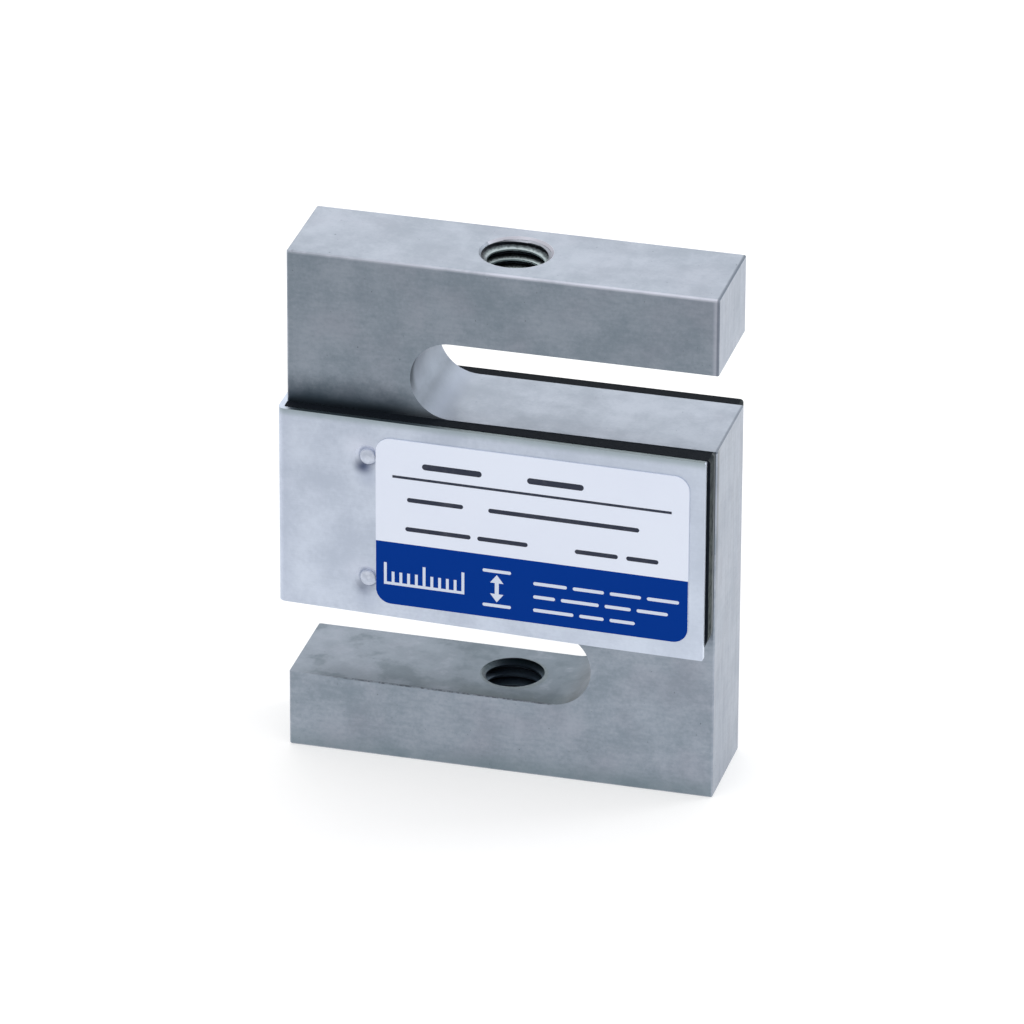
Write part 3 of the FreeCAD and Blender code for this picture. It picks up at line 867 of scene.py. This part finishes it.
def load_arrow(x, z):
    """The sign of pull and push: an arrow with a head at each end, between two plates."""
    reach, head, half_head, half_shaft = 1.75 * MM, 1.05 * MM, 0.8 * MM, 0.24 * MM
    plate_reach, plate_level, plate_height = 1.7 * MM, 2.2 * MM, 0.4 * MM
    side = [(half_shaft, reach - head), (half_head, reach - head), (0.0, reach)]
    outline = [(x + dx, z + dz) for dx, dz in side]
    outline += [(x - dx, z + dz) for dx, dz in reversed(side[:-1])]
    outline += [(x - dx, z - dz) for dx, dz in side]
    outline += [(x + dx, z - dz) for dx, dz in reversed(side[:-1])]
    plates = [bar(x - plate_reach, x + plate_reach, z + up * plate_level, plate_height) for up in (1, -1)]
    return [outline] + plates


def tick_scale(x0, x1, z):
    """A measuring scale: a base line and ticks, with a longer one at each fifth."""
    count, width = 10, 0.34 * MM
    line_low, line_high = z - 0.2 * MM, z + 0.15 * MM
    long_tick, short_tick = 2.6 * MM, 1.5 * MM
    marks = [panel(x0 - width / 2, x1 + width / 2, line_low, line_high)]
    for i in range(count + 1):
        x = x0 + (x1 - x0) * i / count
        height = long_tick if i % 5 == 0 else short_tick
        marks.append(panel(x - width / 2, x + width / 2, line_high, z + height))
    return marks


def label_print():
    """A blue field, a rule, bars in place of wording, a load arrow and a scale of ticks."""
    blue = ink("label_blue", (0.0005, 0.037, 0.280))
    black = ink("label_black", (0.040, 0.046, 0.070), fade=0.05)
    white = ink("label_white", (0.70, 0.76, 0.90))
    band = panel(
        label_low.x + PRINT_MARGIN, label_high.x - PRINT_MARGIN, label_low.z + PRINT_MARGIN, BAND_TOP,
        (LABEL_CORNER, LABEL_CORNER, 0, 0), steps=14,
    )
    printed("label_band", [band], blue)
    x0, x1, z, height = RULE
    printed("label_rule", [panel(x0, x1, z - height / 2, z + height / 2)], black)
    printed("label_lines", words(LINES), black)
    printed("label_notes", words(NOTES), white, level=2)
    printed("label_arrow", load_arrow(*ARROW_PLACE), white, level=2)
    printed("label_scale", tick_scale(*SCALE_PLACE), white, level=2)


# ---- Gauge grids, solder and resistor ends ----

def boxes(name, spans, looks):
    """One piece of several boxes, each given by its low and high corner."""
    work = bmesh.new()
    for low, high in spans:
        made = bmesh.ops.create_cube(work, size=1.0)["verts"]
        bmesh.ops.scale(work, vec=high - low, verts=made)
        bmesh.ops.translate(work, vec=(low + high) / 2, verts=made)
    piece(name, mesh_from(work, name), looks)


def domes(name, centres, radius, height, looks):
    """One piece of several solder domes."""
    work = bmesh.new()
    for centre in centres:
        made = bmesh.ops.create_uvsphere(work, u_segments=20, v_segments=10, radius=radius)["verts"]
        bmesh.ops.scale(work, vec=(1, 1, height / radius), verts=made)
        bmesh.ops.translate(work, vec=centre, verts=made)
    mesh = mesh_from(work, name)
    smooth(mesh, SOLDER_SHARP)
    piece(name, mesh, looks)


def gauge_grid(place, looks):
    """Foil strands along X on the free face of a gauge, with end loops and two tabs."""
    low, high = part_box("strain_gauge_" + place)
    middle = (low + high) / 2
    faces_up = middle.z < (body_low.z + body_high.z) / 2
    z0, z1 = (high.z, high.z + GRID_LIFT) if faces_up else (low.z - GRID_LIFT, low.z)
    first = -(GRID_STRANDS - 1) / 2 * GRID_PITCH
    half = GRID_WIDTH / 2

    # X and Y of each box, from the gauge's middle
    flat = []
    for i in range(GRID_STRANDS):
        y = first + i * GRID_PITCH
        flat.append((-GRID_REACH, GRID_REACH, y - half, y + half))
        if i:
            end = GRID_REACH if i % 2 else -GRID_REACH
            flat.append((end - GRID_WIDTH, end + GRID_WIDTH, y - GRID_PITCH - half, y + half))
    for side in (-1, 1):
        tab = side * TAB_PLACE
        y0, y1 = sorted((-side * first, tab))
        flat.append((-TAB_HALF, TAB_HALF, tab - TAB_HALF, tab + TAB_HALF))
        flat.append((-GRID_REACH, -GRID_REACH + 3 * half, y0, y1))
        flat.append((-GRID_REACH, 0.0, tab - GRID_WIDTH, tab + GRID_WIDTH))
    spans = []
    for x0, x1, y0, y1 in flat:
        corner = Vector((middle.x + x0, middle.y + y0, z0))
        spans.append((corner, Vector((middle.x + x1, middle.y + y1, z1))))
    boxes("gauge_grid_" + place, spans, looks)


def inner_details(tin, foil):
    """What the closed window holds beside the CAD pieces."""
    board_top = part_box("bridge_board")[1].z
    pads = []
    for place in LEAD_COLORS:
        gauge_grid(place, foil)
        low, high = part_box("gauge_terminal_" + place)
        lead_low, lead_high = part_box("gauge_lead_" + place)
        is_lower = place.startswith("lower")
        is_right = place.endswith("right")
        middle = (low + high) / 2
        blob = Vector((middle.x, middle.y, high.z if is_lower else low.z))
        domes("solder_" + place, [blob], *SOLDER_BLOB, tin)
        pad_x = lead_high.x - LEAD_RADIUS if is_lower == is_right else lead_low.x + LEAD_RADIUS
        pads.append(Vector((pad_x, lead_low.y + LEAD_RADIUS, board_top)))
    domes("solder_board", pads, *SOLDER_PAD, tin)
    caps = []
    for index in (1, 2, 3):
        low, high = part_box("trim_resistor_" + str(index))
        for y0, y1 in ((low.y - CAP_SKIN, low.y + CAP_LENGTH), (high.y - CAP_LENGTH, high.y + CAP_SKIN)):
            corner = Vector((low.x - CAP_SKIN, y0, low.z))
            caps.append((corner, Vector((high.x + CAP_SKIN, y1, high.z + CAP_SKIN))))
    boxes("resistor_ends", caps, tin)


# ---- Studio ----

def floor_surface(shader):
    """White to the camera, lit and shadowed by the lamps, bright in reflections, and clear from beneath."""
    diffuse = shader.add("ShaderNodeBsdfDiffuse")
    shader.feed(diffuse.inputs["Color"], FLOOR_COLOR)
    seen = shader.both(shader.rays("Is Camera Ray", "Is Transmission Ray"), FLOOR_GLOW)
    fall = shader.range(shader.split("Object")[1], *FLOOR_MIRROR, smooth=False)
    mirrored = shader.both(shader.rays("Is Glossy Ray"), fall)
    glow = shader.add("ShaderNodeEmission")
    shader.feed(glow.inputs["Color"], (*WHITE, 1.0))
    shader.feed(glow.inputs["Strength"], shader.math("ADD", mirrored, seen))
    lit = shader.add("ShaderNodeAddShader")
    shader.feed(lit.inputs[0], diffuse.outputs[0])
    shader.feed(lit.inputs[1], glow.outputs[0])
    surface = shader.add("ShaderNodeMixShader")
    shader.feed(surface.inputs["Fac"], shader.add("ShaderNodeNewGeometry").outputs["Backfacing"])
    shader.feed(surface.inputs[1], lit.outputs[0])
    shader.feed(surface.inputs[2], shader.add("ShaderNodeBsdfTransparent").outputs[0])
    return surface.outputs[0]


def studio_floor():
    """A plain pale floor just under the foot."""
    corners = [(-1, -1), (1, -1), (1, 1), (-1, 1)]
    mesh = bpy.data.meshes.new("floor")
    mesh.from_pydata([(x * FLOOR_REACH, y * FLOOR_REACH, 0) for x, y in corners], [], [(0, 1, 2, 3)])
    material = bpy.data.materials.new("floor")
    material.use_nodes = True
    material.node_tree.nodes.clear()
    shader = ShaderTree(material.node_tree)
    output = shader.add("ShaderNodeOutputMaterial")
    shader.feed(output.inputs["Surface"], floor_surface(shader))
    mesh.materials.append(material)
    floor = bpy.data.objects.new("floor", mesh)
    bpy.context.scene.collection.objects.link(floor)
    floor.location = (0, 0, body_low.z - FLOOR_DROP)


def studio_world():
    """A plain white surround."""
    world = bpy.data.worlds.new("studio")
    world.use_nodes = True
    background = world.node_tree.nodes["Background"]
    background.inputs["Color"].default_value = (*WHITE, 1.0)
    background.inputs["Strength"].default_value = 1.0
    bpy.context.scene.world = world


def direction(azimuth, elevation):
    """Unit vector from the part, at an azimuth from the front, positive to the right."""
    turn, rise = math.radians(azimuth), math.radians(elevation)
    return Vector((math.sin(turn) * math.cos(rise), -math.cos(turn) * math.cos(rise), math.sin(rise)))


def softbox(name, azimuth, elevation, distance, size, power, color):
    """A square lamp that faces the part, and that the camera doesn't see."""
    data = bpy.data.lights.new(name, "AREA")
    data.shape = "SQUARE"
    data.size = size
    data.energy = power
    data.color = color
    lamp = bpy.data.objects.new(name, data)
    bpy.context.scene.collection.objects.link(lamp)
    away = direction(azimuth, elevation)
    lamp.location = CAMERA_TARGET + away * distance
    lamp.rotation_euler = away.to_track_quat("Z", "Y").to_euler()
    lamp.visible_camera = False


def camera():
    """A long lens from the front, the right and above, with a slight roll."""
    data = bpy.data.cameras.new("camera")
    data.sensor_width = CAMERA_SENSOR
    data.lens = CAMERA_LENS
    data.clip_start, data.clip_end = CAMERA_CLIP
    eye = bpy.data.objects.new("camera", data)
    bpy.context.scene.collection.objects.link(eye)
    back = direction(CAMERA_AZIMUTH, CAMERA_ELEVATION)
    level_right = Vector((0, 0, 1)).cross(back).normalized()
    level_up = back.cross(level_right)
    roll = math.radians(CAMERA_ROLL)
    right = level_right * math.cos(roll) + level_up * math.sin(roll)
    up = -level_right * math.sin(roll) + level_up * math.cos(roll)
    turn = Matrix((right, up, back)).transposed().to_4x4()
    eye.matrix_world = Matrix.Translation(CAMERA_TARGET + back * CAMERA_DISTANCE) @ turn
    bpy.context.scene.camera = eye


# ---- Assembly ----

def pin_centres():
    """Centre of each front pin's head, with the weight of the painted shadow below it."""
    heads = [v.co.copy() for v in nodes["cover_pins"].data.vertices if v.co.y < PIN_HEAD_LIMIT]
    level = (label_low.z + label_high.z) / 2
    upper = [p for p in heads if p.z > level]
    lower = [p for p in heads if p.z <= level]
    return [(sum(group, Vector()) / len(group), weight) for group, weight in ((upper, 0.95), (lower, 0.5))]


tin = solder()
foam = gasket_foam()
carrier = gauge_film()
resistor = moulded("resistor_body", (0.02, 0.02, 0.022), 0.2 * MM)
finishes = {
    "s_body": BodySteel(),
    "cover": cover_sheet(pin_centres()),
    "gasket_front": foam,
    "gasket_rear": foam,
    "cover_pins": pin_steel(),
    "label": label_film(),
    "bridge_board": board_laminate(),
    "cable_grommet": moulded("grommet_rubber", (0.018, 0.018, 0.020), 0.3 * MM),
    "trim_resistor_1": resistor,
    "trim_resistor_2": resistor,
    "trim_resistor_3": resistor,
}
for place, color in LEAD_COLORS.items():
    finishes["strain_gauge_" + place] = carrier
    finishes["gauge_terminal_" + place] = tin
    finishes["gauge_lead_" + place] = moulded("lead_" + place, color, 0.3 * MM)
for name, looks in finishes.items():
    mesh = nodes[name].data
    mesh.materials.clear()
    mesh.materials.append(looks.material)

cut_steel = thread_steel()
thread("thread_upper", UPPER_ARM_FOOT, body_high.z, UPPER_CREST, cut_steel)
thread("thread_lower", LOWER_ARM_TOP, body_low.z, LOWER_CREST, cut_steel)
label_print()
inner_details(tin, gauge_foil())

studio_floor()
studio_world()
for lamp in SOFTBOXES:
    softbox(*lamp)
camera()
bpy.context.scene.view_settings.view_transform = "Standard"
